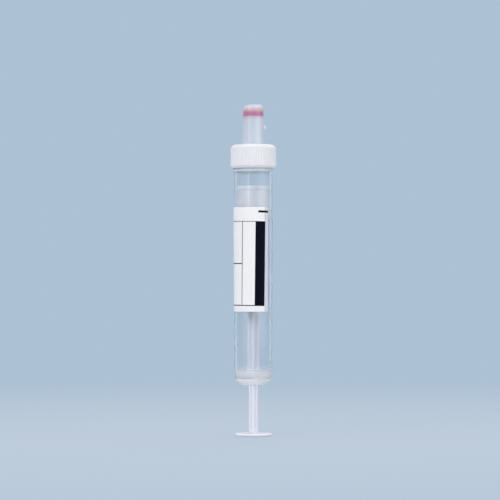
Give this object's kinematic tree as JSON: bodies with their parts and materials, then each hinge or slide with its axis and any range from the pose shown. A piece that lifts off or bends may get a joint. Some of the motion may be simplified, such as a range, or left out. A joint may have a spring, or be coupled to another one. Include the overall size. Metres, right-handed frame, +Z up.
{
  "type": "blood collection tube",
  "caption": "Clear barrel with a piston on a ribbed break-off rod, and a white screw cap whose slim nozzle is closed by a rubber membrane.",
  "frame": {"origin": "centre of the thumb disc's underside, on the tube's axis", "axes": "+Z up along the tube's axis, from the thumb disc to the nozzle; +X is the side of the nozzle's locking lug; -Y is the side of the label's dark band"},
  "size_m": [0.0174, 0.0174, 0.1268],
  "materials": {
    "barrel": "clear polypropylene, smooth and glossy, slightly milky in the thick base",
    "label": "white film label with a dark band, thin ruled lines and a clear free edge",
    "screw_cap": "white polyethylene, satin, translucent where the nozzle is thin",
    "membrane": "pink rubber, matt",
    "piston": "milky translucent polyethylene",
    "piston_rod": "milky translucent plastic, satin"
  },
  "bodies": {
    "tube": {"barrel": "barrel", "label": "label"},
    "plunger": {"piston": "piston", "piston_rod": "piston_rod"},
    "membrane": {"membrane": "membrane"},
    "cap": {"screw_cap": "screw_cap"}
  },
  "joints": [
    {"name": "piston_draw", "type": "slide", "parent": "tube", "child": "plunger", "axis": [0, 0, -1], "range_m": [-0.0089, 0.0598]},
    {"name": "cap_lift", "type": "slide", "parent": "tube", "child": "membrane", "axis": [0, 0, 1], "range_m": [0, 0.012]},
    {"name": "cap_turn", "type": "hinge", "parent": "membrane", "child": "cap", "pos_m": [0, 0, 0.107], "axis": [0, 0, 1], "range_deg": [0, 720.1]}
  ],
  "couplings": [
    {"joint": "cap_turn", "follows": "cap_lift", "rad_per_m": 1047.2}
  ]
}
